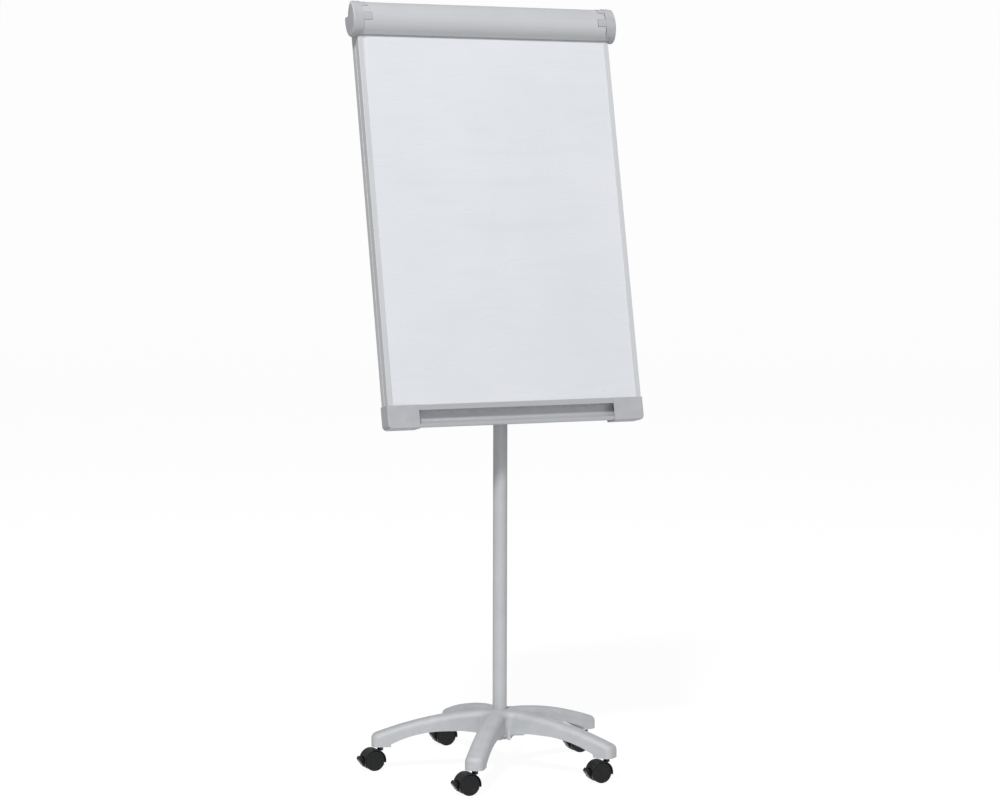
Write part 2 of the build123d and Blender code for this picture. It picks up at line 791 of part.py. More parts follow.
def make_corner_cap(side, name):
    """Moulded corner, hollow for the side frame and the end of the pen tray."""
    outer = frame_outer + cap_outer_wall
    front = lip_proud + cap_front_wall
    rear = -frame_depth + lip_proud - cap_rear_wall
    under = tray_foot - cap_under_wall
    middle_x = side * (cap_reach + outer) / 2
    with BuildPart() as cap:
        with BuildSketch(on_board(rear)):
            with Locations((middle_x, under)):
                Rectangle(outer - cap_reach, -under, align=(Align.CENTER, Align.MIN))
        extrude(amount=front - rear)
        lower_outer = [
            e
            for e in cap.edges()
            if abs(abs(edge_spot(e).X) - outer) < 0.1 and abs(edge_spot(e).Y - under) < 0.1
        ]
        fillet(lower_outer, cap_corner_r)
        rims = [
            e
            for e in cap.edges()
            if min(abs(edge_spot(e).Z - front), abs(edge_spot(e).Z - rear)) < 0.1
            and edge_spot(e).Y < -1
            and abs(edge_spot(e).X) > cap_reach + 1
        ]
        fillet(rims, cap_edge_r)
        # pocket for the tray and the frame, open at the top and at the inner end
        with BuildSketch(on_board(-frame_depth + lip_proud)):
            with Locations((side * cap_reach, tray_foot)):
                pocket = frame_outer - cap_reach
                align_x = Align.MIN if side > 0 else Align.MAX
                Rectangle(pocket, -tray_foot, align=(align_x, Align.MIN))
        extrude(amount=frame_depth, mode=Mode.SUBTRACT)
    finish(cap, name)


# ------------------------------------------------------------------ top rail and hinge


def make_top_rail():
    rear = panel_back
    with BuildPart() as rail:
        with BuildSketch(across_board(-rail_half_length)):
            with BuildLine():
                Polyline(
                    (face_height, rail_front),
                    (rail_top, rail_front),
                    (rail_top, rear - rail_wall),
                    (face_height - rail_overlap, rear - rail_wall),
                    (face_height - rail_overlap, rear),
                    (face_height, rear),
                    (face_height, rail_front),
                )
            make_face()
            with Locations(((face_height + rail_top) / 2, (rail_front + rear) / 2)):
                inner_height = rail_top - face_height - 2 * rail_wall
                inner_depth = rail_front - rear - 2 * rail_wall
                Rectangle(inner_height, inner_depth, mode=Mode.SUBTRACT)
            with Locations(((rail_slot_low + rail_slot_high) / 2, rail_front)):
                Rectangle(rail_slot_high - rail_slot_low, 3 * rail_wall, mode=Mode.SUBTRACT)
        extrude(amount=2 * rail_half_length)
        with BuildSketch(on_board(rear)):
            with Locations(rail_screw_spots):
                Circle(screw_r)
        extrude(amount=-rail_wall, mode=Mode.SUBTRACT)
    finish(rail, "top_rail")

    with BuildPart() as cheeks:
        for start in (rail_half_length, -rail_half_length - cheek_thickness):
            with BuildSketch(across_board(start)):
                with BuildLine():
                    Polyline(
                        (frame_top, rail_front),
                        (frame_top, rear),
                        (rail_top, rear),
                        (rail_top, rail_front),
                        (frame_top, rail_front),
                    )
                    CenterArc((hinge_up, -hinge_behind), cheek_r, 0, 360)
                make_hull()
                with Locations((hinge_up, -hinge_behind)):
                    Circle(hinge_pin_r, mode=Mode.SUBTRACT)
            extrude(amount=cheek_thickness)
    finish(cheeks, "bar_cheeks")

    with BuildPart() as pins:
        inner_end = rail_half_length - spring_length - 2
        outer_end = bar_cap_floor + 1
        for start in (inner_end, -outer_end):
            with BuildSketch(across_board(start)):
                with Locations((hinge_up, -hinge_behind)):
                    Circle(hinge_pin_r)
            extrude(amount=outer_end - inner_end)
    finish(pins, "bar_hinge_pins")

    with BuildPart() as springs:
        for start in (rail_half_length - spring_length, -rail_half_length):
            with BuildSketch(across_board(start)):
                with Locations((hinge_up, -hinge_behind)):
                    Circle(spring_r)
                    Circle(hinge_pin_r, mode=Mode.SUBTRACT)
            extrude(amount=spring_length)
    finish(springs, "bar_springs")


def make_hook(side, name):
    """Paper hook: a peg with a keyed foot that slides along the top rail's slot."""
    at = (side * hook_at, (rail_slot_low + rail_slot_high) / 2)
    neck = rail_slot_high - rail_slot_low - 2 * running
    with BuildPart() as hook:
        with BuildSketch(on_board(rail_front + 0.1)):
            with Locations(at):
                Circle(hook_flange_r)
        extrude(amount=hook_flange)
        with BuildSketch(on_board(rail_front)):
            with Locations(at):
                Circle(hook_r)
        extrude(amount=hook_reach)
        with BuildSketch(on_board(rail_front + 0.1)):
            with Locations(at):
                Rectangle(hook_key, neck)
        extrude(amount=-rail_wall - 0.2)
        with BuildSketch(on_board(rail_front - rail_wall - 0.1)):
            with Locations(at):
                Rectangle(hook_key, neck + 6)
        extrude(amount=-2)
        tip = hook.edges().filter_by(GeomType.CIRCLE).sort_by(
            lambda e: (e.arc_center - board_foot).dot(out_of_board)
        )[-1]
        fillet(tip, 1.5)
    finish(hook, name)


# ------------------------------------------------------------------ clamp bar


def oval_band(grow, wall):
    """The bar's open section, or a band that lies around it, drawn in the sketch that calls it."""
    lip = bar_lip_up - grow / 2
    crease = bar_crease_up
    with Locations((bar_centre_up, bar_centre_out)):
        Ellipse(bar_half_height + grow, bar_half_depth + grow)
        Ellipse(bar_half_height + grow - wall, bar_half_depth + grow - wall, mode=Mode.SUBTRACT)
    with Locations((crease, bar_centre_out)):
        Rectangle(200, 200, align=(Align.MAX, Align.CENTER), mode=Mode.SUBTRACT)
    with Locations((bar_back_up, bar_centre_out)):
        Rectangle(200, 200, align=(Align.MAX, Align.MAX), mode=Mode.SUBTRACT)
    flat_out = bar_lip_out + bar_lip + grow * 0.6
    Polygon(
        (crease, oval_out(crease, grow)),
        (lip, flat_out),
        (lip, bar_lip_out),
        (lip + wall * 1.6, bar_lip_out),
        (crease, oval_out(crease, grow - wall)),
        align=None,
    )


def make_clamp_bar():
    with BuildPart() as bar:
        with BuildSketch(across_board(-bar_half_length)):
            oval_band(0, bar_wall)
            with Locations((bar_lip_up, bar_lip_out)):
                Rectangle(bar_lip_height, bar_lip, align=(Align.MIN, Align.MIN))
        extrude(amount=2 * bar_half_length)
    finish(bar, "clamp_bar")

    with BuildPart() as strip:
        with BuildSketch(across_board(-grip_end)):
            with Locations((bar_lip_up + 1, grip_gap)):
                Rectangle(grip_height, bar_lip_out - grip_gap, align=(Align.MIN, Align.MIN))
        extrude(amount=2 * grip_end)
    finish(strip, "grip_strip")


def make_bar_cap(side, name):
    """End cap: a collar over the bar with two tongues, and a closed oval end with a recess."""

    def run(start, end):
        """Plane at the lower x of a span given outwards from the middle, and its length."""
        low = start if side > 0 else -end
        return across_board(low), end - start

    with BuildPart() as cap:
        plane, length = run(bar_cap_start, bar_cap_floor)
        with BuildSketch(plane):
            oval_band(collar_proud, collar_proud)
        extrude(amount=length)
        plane, length = run(bar_cap_inner, bar_cap_end)
        with BuildSketch(plane):
            with Locations((bar_centre_up, bar_centre_out)):
                Ellipse(bar_half_height + collar_proud, bar_half_depth + collar_proud)
        extrude(amount=length)
        end_edges = cap.edges().filter_by(
            lambda e: abs(abs(e.position_at(0.25).X) - bar_cap_end) < 0.01
            and abs(abs(e.position_at(0.75).X) - bar_cap_end) < 0.01
        )
        fillet(end_edges, bar_cap_edge_r)
        # recess in the upper rear quarter of the end
        plane, length = run(bar_cap_end - bar_cap_recess, bar_cap_end)
        with BuildSketch(plane):
            with BuildLine():
                top = bar_centre_up + bar_half_height + 10
                low = recess_low
                Line((low, -60), (low, recess_out - 5))
                ThreePointArc(
                    (low, recess_out - 5), (low + 1.5, recess_out - 1.5), (low + 5, recess_out)
                )
                ThreePointArc(
                    (low + 5, recess_out), (low + 24, recess_out + 1), (top, recess_out + 7)
                )
                Polyline((top, recess_out + 7), (top, -60), (low, -60))
            make_face()
        extrude(amount=length, mode=Mode.SUBTRACT)
        # hollow inside, up to the end wall
        plane, length = run(bar_cap_inner, bar_cap_floor)
        with BuildSketch(plane):
            with Locations((bar_centre_up, bar_centre_out)):
                Ellipse(bar_half_height, bar_half_depth)
        extrude(amount=length, mode=Mode.SUBTRACT)
        # the hinge boss
        plane, length = run(rail_half_length + cheek_thickness + cheek_gap, bar_cap_floor + 1)
        with BuildSketch(plane):
            with Locations((hinge_up, -hinge_behind)):
                Circle(cap_boss_r)
        extrude(amount=length)
        plane, length = run(rail_half_length + cheek_thickness, bar_cap_floor + 1.5)
        with BuildSketch(plane):
            with Locations((hinge_up, -hinge_behind)):
                Circle(hinge_pin_r + running)
        extrude(amount=length, mode=Mode.SUBTRACT)
        # tongues over the bar
        plane, length = run(bar_cap_start - tongue_length, bar_cap_start)
        with BuildSketch(plane):
            with Locations((bar_centre_up, bar_centre_out)):
                Ellipse(bar_half_height + tongue_proud, bar_half_depth + tongue_proud)
                Ellipse(bar_half_height, bar_half_depth, mode=Mode.SUBTRACT)
            with Locations((tongue_low, bar_centre_out)):
                keep = tongue_high - tongue_low
                Rectangle(keep, 100, align=(Align.MIN, Align.MIN), mode=Mode.INTERSECT)
        extrude(amount=length)
        plane, length = run(bar_cap_start - top_tongue_length, bar_cap_start)
        with BuildSketch(plane):
            with Locations((bar_centre_up, bar_centre_out)):
                Ellipse(bar_half_height + tongue_proud, bar_half_depth + tongue_proud)
                Ellipse(bar_half_height, bar_half_depth, mode=Mode.SUBTRACT)
            with Locations((top_tongue_low, bar_centre_out)):
                Rectangle(100, 100, align=(Align.MIN, Align.CENTER), mode=Mode.INTERSECT)
        extrude(amount=length)
        # seat for the bar
        plane, length = run(bar_cap_start - tongue_length, bar_half_length)
        with BuildSketch(plane):
            oval_band(0, bar_wall)
            with Locations((bar_lip_up, bar_lip_out)):
                Rectangle(bar_lip_height, bar_lip, align=(Align.MIN, Align.MIN))
        extrude(amount=length, mode=Mode.SUBTRACT)
    finish(cap, name)


# ------------------------------------------------------------------ casters


def make_stems(spots):
    with BuildPart() as stems:
        with BuildSketch(Plane.XY.offset(stem_foot_z)):
            with Locations(spots):
                Circle(stem_r)
        extrude(amount=boss_under_z + stem_into_arm - stem_foot_z)
        # grip ring that bites in the arm's bore
        with BuildSketch(Plane.XY.offset(boss_under_z)):
            with Locations(spots):
                Circle(grip_ring_r)
        extrude(amount=stem_into_arm)
    finish(stems, "caster_stems")


def ring_sector(inner, outer, start, end):
    """Flat ring between two radii and two angles, around the local origin."""
    with BuildSketch() as sector:
        with BuildLine():
            first = CenterArc((0, 0), outer, start, end - start)
            second = CenterArc((0, 0), inner, start, end - start)
            Line(first @ 0, second @ 0)
            Line(first @ 1, second @ 1)
        make_face()
    return sector.sketch


def make_caster(number, spot):
    """One twin-wheel caster around its stem, trailing towards -X."""
    x, y = spot
    axle_x = x - trail

    def side_plane(offset):
        """Plane facing -Y at y plus offset, with its local origin on the wheels' axle."""
        return Plane(origin=(axle_x, y + offset, wheel_r), x_dir=(1, 0, 0), z_dir=(0, -1, 0))

    collar_top = boss_under_z - stem_collar_gap
    inner_r = hood_r - hood_wall
    hood_arc = ring_sector(inner_r, hood_r, hood_front_angle, hood_back_angle)
    web_top = ring_sector(wheel_r - 5, inner_r + 0.5, 5, 175)
    window = ring_sector(inner_r - 0.5, hood_r + 1, lever_window_top, hood_back_angle + 5)
    with BuildPart() as housing:
        with BuildSketch(side_plane(0)):
            add(hood_arc)
        extrude(amount=hood_half_width, both=True)
        with BuildSketch(side_plane(0)):
            Circle(wheel_r - 3)
            add(web_top)
            with Locations((trail, 0)):
                Rectangle(15, 28, align=(Align.CENTER, Align.CENTER))
        extrude(amount=web_half, both=True)
        with BuildSketch(Plane.XY.offset(2 * wheel_r - 2)):
            with Locations((x, y)):
                Circle(stem_collar_r)
        extrude(amount=collar_top - 2 * wheel_r + 2)
        # window and slot for the brake lever
        with BuildSketch(side_plane(0)):
            add(window)
        extrude(amount=lever_half_width + side_gap, both=True, mode=Mode.SUBTRACT)
        with BuildSketch(side_plane(0)):
            with BuildLine():
                Polyline((-11, -24), (-11, -4), (-20, 12), (-30, 12), (-30, -24), (-11, -24))
            make_face()
        extrude(amount=lever_arm_half + side_gap, both=True, mode=Mode.SUBTRACT)
        with BuildSketch(side_plane(0)):
            Circle(axle_r)
            with Locations(lever_pivot):
                Circle(lever_pin_r + running)
        extrude(amount=web_half, both=True, mode=Mode.SUBTRACT)
        with BuildSketch(Plane.XY.offset(stem_foot_z - 1)):
            with Locations((x, y)):
                Circle(stem_r + running)
        extrude(amount=collar_top - stem_foot_z + 1, mode=Mode.SUBTRACT)
    finish(housing, f"caster_{number}_housing")

    wheel_in = web_half + wheel_gap
    axle_half = wheel_in + wheel_width - axle_cover - 0.4
    with BuildPart() as axle:
        with BuildSketch(side_plane(0)):
            Circle(axle_r)
        extrude(amount=axle_half, both=True)
    finish(axle, f"caster_{number}_axle")

    for side, word in ((-1, "front"), (1, "rear")):
        with BuildPart() as wheel:
            with BuildSketch(side_plane(side * wheel_in)):
                Circle(wheel_r)
            extrude(amount=-side * wheel_width)
            rims = wheel.edges().filter_by(GeomType.CIRCLE)
            fillet(rims, wheel_corner_r)
            # shallow dish in the outer face
            with BuildSketch(side_plane(side * (wheel_in + wheel_width))):
                Circle(wheel_r - 4.5)
            extrude(amount=side * 0.7, mode=Mode.SUBTRACT)
            with BuildSketch(side_plane(side * wheel_in)):
                Circle(axle_r + running)
            extrude(amount=-side * (wheel_width - axle_cover), mode=Mode.SUBTRACT)
        finish(wheel, f"caster_{number}_wheel_{word}")

    px, pz = lever_pivot
    tx, tz = lever_tip
    with BuildPart() as lever:
        with BuildSketch(side_plane(0)):
            with BuildLine():
                Polyline(
                    (-24.5, 8.5),
                    (tx + 4, tz + 6.5),
                    (tx, tz),
                    (tx + 3.5, tz - 6),
                    (-25, -14.5),
                    (-20, -14.5),
                    (-20, 8.5),
                    (-24.5, 8.5),
                )
            make_face()
            Circle(wheel_r + lever_clear, mode=Mode.SUBTRACT)
        extrude(amount=lever_half_width, both=True)
        with BuildSketch(side_plane(0)):
            with BuildLine():
                Polyline(
                    (px + 1, pz + 5),
                    (-24, 7),
                    (-29, 7),
                    (-27, -14),
                    (px - 2, pz - 3.5),
                    (px + 1, pz + 5),
                )
            make_face()
            with Locations(lever_pivot):
                Circle(4.5)
        extrude(amount=lever_arm_half, both=True)
        with BuildSketch(side_plane(0)):
            with Locations(lever_pivot):
                Circle(lever_pin_r)
        extrude(amount=web_half, both=True)
    finish(lever, f"caster_{number}_brake_lever")


# ------------------------------------------------------------------ build everything

make_star_base()
make_base_fastening()
make_column()
make_height_knob()
make_mast()
make_tilt_bracket()
make_board()
make_board_screws()
make_side_frame(-1, "side_frame_left")
make_side_frame(1, "side_frame_right")
make_pen_tray()
make_corner_cap(-1, "corner_cap_left")
make_corner_cap(1, "corner_cap_right")
make_top_rail()
make_hook(-1, "paper_hook_left")
make_hook(1, "paper_hook_right")
make_clamp_bar()
make_bar_cap(-1, "bar_cap_left")
make_bar_cap(1, "bar_cap_right")

stem_spots = [
    (
        stem_circle_r * cos(radians(base_turn + 360 / arm_count * i)),
        stem_circle_r * sin(radians(base_turn + 360 / arm_count * i)),
    )
    for i in range(arm_count)
]
make_stems(stem_spots)
for number, spot in enumerate(stem_spots, start=1):
    make_caster(number, spot)
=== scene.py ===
import json
from math import cos, pi, radians, sin, sqrt, tau

import bmesh
import bpy
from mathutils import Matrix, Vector

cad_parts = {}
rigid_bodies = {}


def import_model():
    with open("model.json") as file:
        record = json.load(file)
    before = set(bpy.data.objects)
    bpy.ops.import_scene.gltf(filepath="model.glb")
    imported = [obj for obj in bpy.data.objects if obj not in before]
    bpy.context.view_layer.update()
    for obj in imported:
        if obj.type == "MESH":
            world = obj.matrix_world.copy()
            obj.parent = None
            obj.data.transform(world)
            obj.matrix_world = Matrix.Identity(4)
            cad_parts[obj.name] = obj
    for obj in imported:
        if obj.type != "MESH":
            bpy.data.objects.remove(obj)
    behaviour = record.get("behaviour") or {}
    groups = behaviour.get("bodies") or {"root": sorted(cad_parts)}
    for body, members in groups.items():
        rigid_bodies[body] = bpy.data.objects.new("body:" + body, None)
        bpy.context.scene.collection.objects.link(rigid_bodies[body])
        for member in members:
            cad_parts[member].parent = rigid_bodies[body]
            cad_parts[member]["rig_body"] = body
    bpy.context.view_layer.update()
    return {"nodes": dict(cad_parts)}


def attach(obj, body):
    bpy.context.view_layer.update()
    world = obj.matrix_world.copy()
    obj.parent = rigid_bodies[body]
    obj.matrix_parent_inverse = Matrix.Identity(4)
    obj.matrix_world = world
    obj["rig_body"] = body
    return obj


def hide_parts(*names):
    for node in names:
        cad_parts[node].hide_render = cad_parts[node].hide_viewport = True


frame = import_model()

MM = 0.001

# The board's own directions: across is X, up the face, and out of the face.
board_lean = radians(11.41)
up_board = Vector((0, sin(board_lean), cos(board_lean)))
out_of_board = Vector((0, -cos(board_lean), sin(board_lean)))


# ------------------------------------------------------------------ material helpers


def linear(hex_code):
    """An sRGB hex colour as the linear RGBA that the shader takes."""
    channels = [int(hex_code[i : i + 2], 16) / 255 for i in (1, 3, 5)]
    return tuple(c / 12.92 if c <= 0.04045 else ((c + 0.055) / 1.055) ** 2.4 for c in channels) + (1.0,)


def add(tree, kind, inputs=None, **settings):
    """Adds a node, sets its properties, then fills or links its inputs by name or number."""
    node = tree.nodes.new(kind)
    for name, value in settings.items():
        setattr(node, name, value)
    for name, value in (inputs or {}).items():
        if isinstance(value, bpy.types.NodeSocket):
            tree.links.new(value, node.inputs[name])
        else:
            node.inputs[name].default_value = value
    return node


def stretched(tree, vector, factors):
    """The vector with each of its axes multiplied by a factor."""
    return add(tree, "ShaderNodeVectorMath", {0: vector, 1: factors}, operation="MULTIPLY").outputs[0]


def start_material(name, ior=None, metallic=0.0):
    """An empty material with its shader, and Object coordinates in millimetres."""
    material = bpy.data.materials.new(name)
    material.use_nodes = True
    tree = material.node_tree
    tree.nodes.clear()
    shader = add(tree, "ShaderNodeBsdfPrincipled", {"Metallic": metallic})
    if ior:
        shader.inputs["IOR"].default_value = ior
    output = add(tree, "ShaderNodeOutputMaterial")
    tree.links.new(shader.outputs["BSDF"], output.inputs["Surface"])
    place = add(tree, "ShaderNodeTexCoord")
    return material, tree, shader, stretched(tree, place.outputs["Object"], (1000, 1000, 1000))


def two_tone(tree, mask, low, high, low_at=0.35, high_at=0.65):
    """A colour that runs between two hex colours as the mask goes from one value to another."""
    ramp = add(tree, "ShaderNodeValToRGB", {"Fac": mask})
    ramp.color_ramp.elements[0].position = low_at
    ramp.color_ramp.elements[0].color = linear(low)
    ramp.color_ramp.elements[1].position = high_at
    ramp.color_ramp.elements[1].color = linear(high)
    return ramp.outputs["Color"]


def between(tree, mask, low, high, low_at=0.3, high_at=0.7):
    """A number that runs between two values as the mask goes from one value to another."""
    inputs = {"Value": mask, "From Min": low_at, "From Max": high_at, "To Min": low, "To Max": high}
    return add(tree, "ShaderNodeMapRange", inputs).outputs["Result"]


def worn_edge(tree, mm, amount):
    """1 where an outer edge is rubbed, broken up by patches about 9 mm wide, else 0."""
    edge = add(tree, "ShaderNodeAttribute", attribute_name="edge")
    patches = add(tree, "ShaderNodeTexNoise", {"Vector": mm, "Scale": 1 / 9, "Detail": 4.0})
    patchy = between(tree, patches.outputs["Fac"], 0.0, amount, 0.38, 0.7)
    return add(tree, "ShaderNodeMath", {0: edge.outputs["Fac"], 1: patchy}, operation="MULTIPLY").outputs[0]


def wear_and_shade_tint(tree, mask, colour, hex_code):
    """The colour, turned towards a hex colour where the mask is 1: used for wear, dust and scuffs, and for
    the painted shade in the honeycomb cells.
    """
    # the colour mixer's factor, first colour, second colour and result by number
    inputs = {0: mask, 6: colour, 7: linear(hex_code)}
    return add(tree, "ShaderNodeMix", inputs, data_type="RGBA").outputs[2]


def bumped(tree, shader, height, depth_mm, under=None):
    """Bump from a 0-1 height pattern of a real depth, on top of an earlier bump if there is one."""
    inputs = {"Height": height, "Distance": depth_mm * MM, "Strength": 1.0}
    bump = add(tree, "ShaderNodeBump", inputs)
    if under:
        tree.links.new(under, bump.inputs["Normal"])
    tree.links.new(bump.outputs["Normal"], shader.inputs["Normal"])
    return bump.outputs["Normal"]


# ------------------------------------------------------------------ materials


def vitreous_enamel():
    """Enamelled steel face: fired glass, white with a cold cast, nearly flat, with a faint
    orange peel and the dull sweeps that a dry wiper leaves. The peel, really about 2 mm
    across, is drawn 3 mm across so that it shows."""
    material, tree, shader, mm = start_material("vitreous_enamel", ior=1.52)
    cloud = add(tree, "ShaderNodeTexNoise", {"Vector": mm, "Scale": 1 / 260, "Detail": 2.0})
    body = two_tone(tree, cloud.outputs["Fac"], "#D7DADF", "#DDDFE4", 0.3, 0.7)
    sweep = stretched(tree, mm, (1 / 210, 1 / 34, 1 / 34))
    streaks = {"Vector": sweep, "Scale": 1.0, "Detail": 6.0, "Distortion": 0.9}
    wiping = add(tree, "ShaderNodeTexNoise", streaks)
    haze = between(tree, wiping.outputs["Fac"], 0.0, 0.10, 0.5, 0.75)
    tree.links.new(wear_and_shade_tint(tree, haze, body, "#BEC3CC"), shader.inputs["Base Color"])
    tree.links.new(between(tree, wiping.outputs["Fac"], 0.24, 0.36), shader.inputs["Roughness"])
    peel = add(tree, "ShaderNodeTexNoise", {"Vector": mm, "Scale": 1 / 3, "Detail": 1.0})
    bumped(tree, shader, peel.outputs["Fac"], 0.012)
    return material


def coil_coated_steel():
    """Thin painted sheet on the back: even grey polyester coat with a fine roller grain 0.9 mm
    wide and long, and a few scuffs from being leant on walls."""
    material, tree, shader, mm = start_material("coil_coated_steel", ior=1.48)
    cloud = add(tree, "ShaderNodeTexNoise", {"Vector": mm, "Scale": 1 / 120, "Detail": 3.0})
    body = two_tone(tree, cloud.outputs["Fac"], "#B4B6B8", "#BDBFC1")
    drag = stretched(tree, mm, (1 / 1.2, 1 / 40, 1 / 60))
    scuffs = add(tree, "ShaderNodeTexNoise", {"Vector": drag, "Scale": 1.0, "Detail": 3.0})
    scuffed = between(tree, scuffs.outputs["Fac"], 0.0, 0.5, 0.66, 0.78)
    tree.links.new(wear_and_shade_tint(tree, scuffed, body, "#CFD1D2"), shader.inputs["Base Color"])
    tree.links.new(between(tree, cloud.outputs["Fac"], 0.40, 0.52), shader.inputs["Roughness"])
    grain = add(tree, "ShaderNodeTexNoise", {"Vector": mm, "Scale": 1 / 0.9, "Detail": 2.0})
    bumped(tree, shader, grain.outputs["Fac"], 0.010)
    return material


def lacquered_aluminium(name, low, high, tip):
    """Extruded profile under silver-grey lacquer: half matt, half the glint of fine metal flake,
    with die lines along the profile, 0.5 to 2 mm apart, that the lacquer has nearly filled.
    tip turns the pattern's length onto the profile's direction."""
    material, tree, shader, mm = start_material(name, ior=1.5, metallic=0.35)
    along = add(tree, "ShaderNodeMapping", {"Vector": mm, "Rotation": tip}, vector_type="TEXTURE")
    lines = stretched(tree, along.outputs[0], (1 / 1.3, 1 / 1.3, 1 / 420))
    draws = {"Vector": lines, "Scale": 1.0, "Detail": 3.0, "Roughness": 0.62}
    die = add(tree, "ShaderNodeTexNoise", draws)
    cloud = add(tree, "ShaderNodeTexNoise", {"Vector": mm, "Scale": 1 / 75, "Detail": 3.0})
    body = two_tone(tree, die.outputs["Fac"], low, high, 0.3, 0.7)
    rub = worn_edge(tree, mm, 0.4)
    tree.links.new(wear_and_shade_tint(tree, rub, body, "#DEDFE1"), shader.inputs["Base Color"])
    tree.links.new(between(tree, cloud.outputs["Fac"], 0.42, 0.50), shader.inputs["Roughness"])
    flake = add(tree, "ShaderNodeTexNoise", {"Vector": mm, "Scale": 1 / 0.35, "Detail": 1.0})
    fine = bumped(tree, shader, die.outputs["Fac"], 0.008)
    bumped(tree, shader, flake.outputs["Fac"], 0.002, fine)
    return material


def powder_coated_steel():
    """Light grey powder coat on the tube and the bracket: a thick film with an orange peel about
    1.6 mm across, dulled in patches and rubbed brighter on edges."""
    material, tree, shader, mm = start_material("powder_coated_steel", ior=1.5)
    cloud = add(tree, "ShaderNodeTexNoise", {"Vector": mm, "Scale": 1 / 60, "Detail": 4.0})
    body = two_tone(tree, cloud.outputs["Fac"], "#B5B7BA", "#BCBEC1")
    rub = worn_edge(tree, mm, 0.5)
    tree.links.new(wear_and_shade_tint(tree, rub, body, "#CDCED0"), shader.inputs["Base Color"])
    tree.links.new(between(tree, cloud.outputs["Fac"], 0.36, 0.46), shader.inputs["Roughness"])
    peel = add(tree, "ShaderNodeTexNoise", {"Vector": mm, "Scale": 1 / 1.6, "Detail": 1.5})
    bumped(tree, shader, peel.outputs["Fac"], 0.020)
    return material


def moulded_grey(name, low, high, rough):
    """Injection-moulded grey plastic: a spark-eroded skin, really 0.3 mm grit and drawn 0.7 mm so
    that it shows, with slow flow marks in the colour and a slight polish on rubbed edges."""
    material, tree, shader, mm = start_material(name, ior=1.53)
    swirl = {"Vector": mm, "Scale": 1 / 48, "Detail": 3.0, "Distortion": 1.2}
    flow = add(tree, "ShaderNodeTexNoise", swirl)
    body = two_tone(tree, flow.outputs["Fac"], low, high)
    rub = worn_edge(tree, mm, 0.45)
    tree.links.new(wear_and_shade_tint(tree, rub, body, "#D5D6D8"), shader.inputs["Base Color"])
    sheen = between(tree, flow.outputs["Fac"], rough - 0.04, rough + 0.06)
    tree.links.new(sheen, shader.inputs["Roughness"])
    grit = add(tree, "ShaderNodeTexVoronoi", {"Vector": mm, "Scale": 1 / 0.7}, feature="SMOOTH_F1")
    bumped(tree, shader, grit.outputs["Distance"], 0.012)
    return material


def black_polyamide(name, low, high, rough, grit_mm, ior=1.53):
    """Glass-filled nylon in black: matt skin with grit, greyed where it is rubbed, and floor dust
    that settles in patches on anything within 60 mm of the ground."""
    material, tree, shader, mm = start_material(name, ior=ior)
    cloud = add(tree, "ShaderNodeTexNoise", {"Vector": mm, "Scale": 1 / 7, "Detail": 5.0})
    body = two_tone(tree, cloud.outputs["Fac"], low, high)
    rub = worn_edge(tree, mm, 0.6)
    worn = wear_and_shade_tint(tree, rub, body, "#47494C")
    height = add(tree, "ShaderNodeSeparateXYZ", {"Vector": mm}).outputs["Z"]
    near_floor = between(tree, height, 1.0, 0.0, 0.0, 60.0)
    settled = between(tree, cloud.outputs["Fac"], 0.0, 0.10, 0.5, 0.75)
    dust = add(tree, "ShaderNodeMath", {0: near_floor, 1: settled}, operation="MULTIPLY").outputs[0]
    tree.links.new(wear_and_shade_tint(tree, dust, worn, "#6E6C68"), shader.inputs["Base Color"])
    tree.links.new(between(tree, cloud.outputs["Fac"], rough, rough + 0.14), shader.inputs["Roughness"])
    grit = add(tree, "ShaderNodeTexNoise", {"Vector": mm, "Scale": 1 / grit_mm, "Detail": 2.0})
    bumped(tree, shader, grit.outputs["Fac"], 0.05 * grit_mm)
    return material


def zinc_plated_steel():
    """Bright zinc on screws, bolts and axles: a cold metal with a slight yellow passivation bloom
    and crystals about 0.8 mm across."""
    material, tree, shader, mm = start_material("zinc_plated_steel", metallic=1.0)
    crystals = add(tree, "ShaderNodeTexVoronoi", {"Vector": mm, "Scale": 1 / 0.8})
    bloom = add(tree, "ShaderNodeTexNoise", {"Vector": mm, "Scale": 1 / 5, "Detail": 3.0})
    body = two_tone(tree, bloom.outputs["Fac"], "#C9CACB", "#D2CFC2")
    tree.links.new(body, shader.inputs["Base Color"])
    sheen = between(tree, crystals.outputs["Distance"], 0.24, 0.40, 0.1, 0.8)
    tree.links.new(sheen, shader.inputs["Roughness"])
    bumped(tree, shader, crystals.outputs["Distance"], 0.006)
    return material


def satin_chrome():
    """Chromed inner tube: polished round its girth, with fine lengthwise scratches where the
    bush has slid along it, about 0.4 mm apart."""
    material, tree, shader, mm = start_material("satin_chrome", metallic=1.0)
    slid = stretched(tree, mm, (1 / 0.4, 1 / 0.4, 1 / 180))
    scratches = add(tree, "ShaderNodeTexNoise", {"Vector": slid, "Scale": 1.0, "Detail": 4.0})
    rings = stretched(tree, mm, (1 / 30, 1 / 30, 1 / 0.5))
    polish = add(tree, "ShaderNodeTexNoise", {"Vector": rings, "Scale": 1.0, "Detail": 2.0})
    body = two_tone(tree, scratches.outputs["Fac"], "#CDCFD1", "#D9DADB")
    tree.links.new(body, shader.inputs["Base Color"])
    tree.links.new(between(tree, scratches.outputs["Fac"], 0.14, 0.30), shader.inputs["Roughness"])
    round_it = bumped(tree, shader, polish.outputs["Fac"], 0.003)
    bumped(tree, shader, scratches.outputs["Fac"], 0.003, round_it)
    return material


